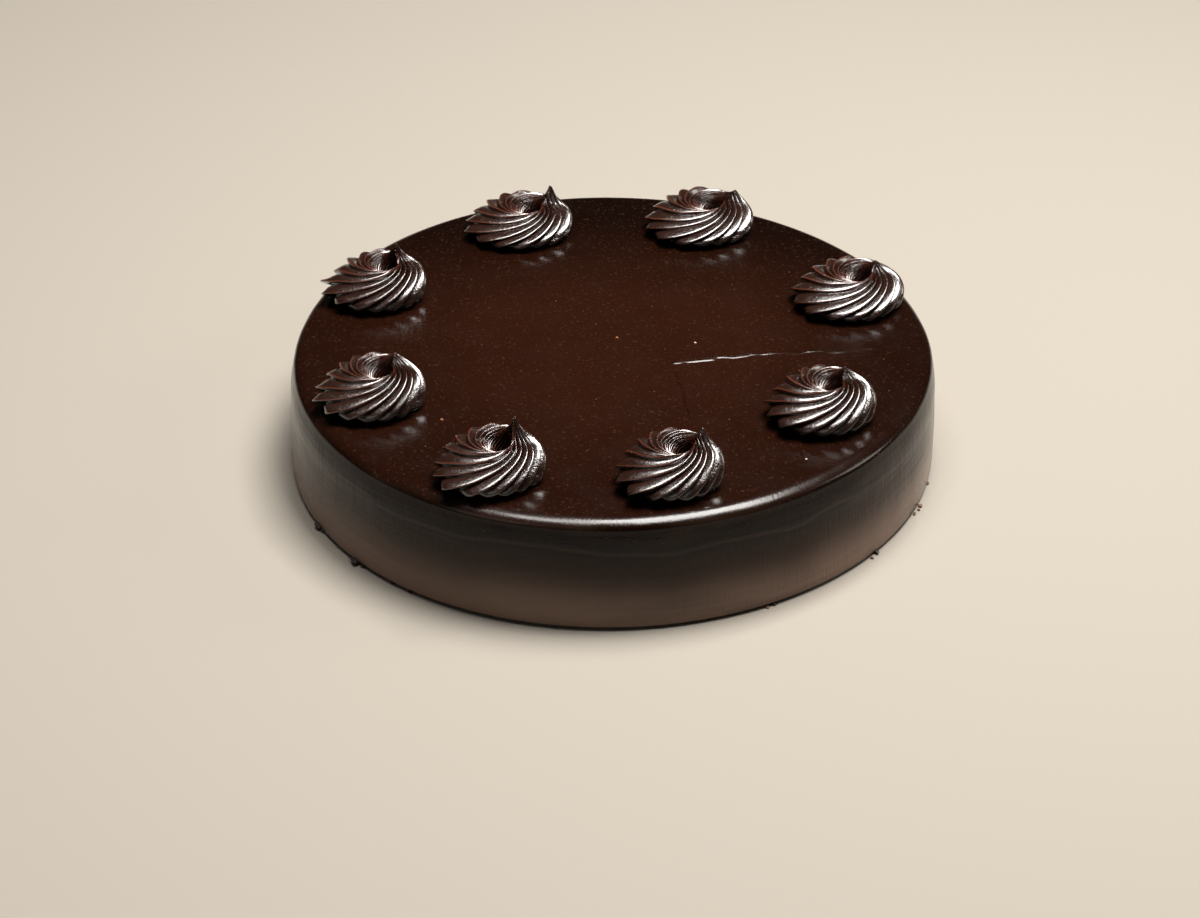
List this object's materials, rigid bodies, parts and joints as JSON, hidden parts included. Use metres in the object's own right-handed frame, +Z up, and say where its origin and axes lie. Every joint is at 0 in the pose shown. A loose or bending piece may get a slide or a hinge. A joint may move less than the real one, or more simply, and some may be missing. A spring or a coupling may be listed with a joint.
{
  "type": "chocolate truffle cake",
  "caption": "Round uncut chocolate truffle cake under a dark poured glaze, with a ring of piped ganache swirls on its top",
  "frame": {"origin": "centre of the flat underside, on the surface that the cake stands on", "axes": "+Z up through the middle of the cake, which is its shortest way; -Y the side that faces the viewer; +X to the viewer's right"},
  "size_m": [0.2092, 0.2102, 0.0547],
  "materials": {
    "glaze": "semi-gloss dark chocolate glaze with fine specks",
    "ganache": "satin piped dark chocolate ganache with a fine grain"
  },
  "bodies": {
    "root": {"cake": "glaze", "swirl_1": "ganache", "swirl_2": "ganache", "swirl_3": "ganache", "swirl_4": "ganache", "swirl_5": "ganache", "swirl_6": "ganache", "swirl_7": "ganache", "swirl_8": "ganache"}
  },
  "joints": []
}
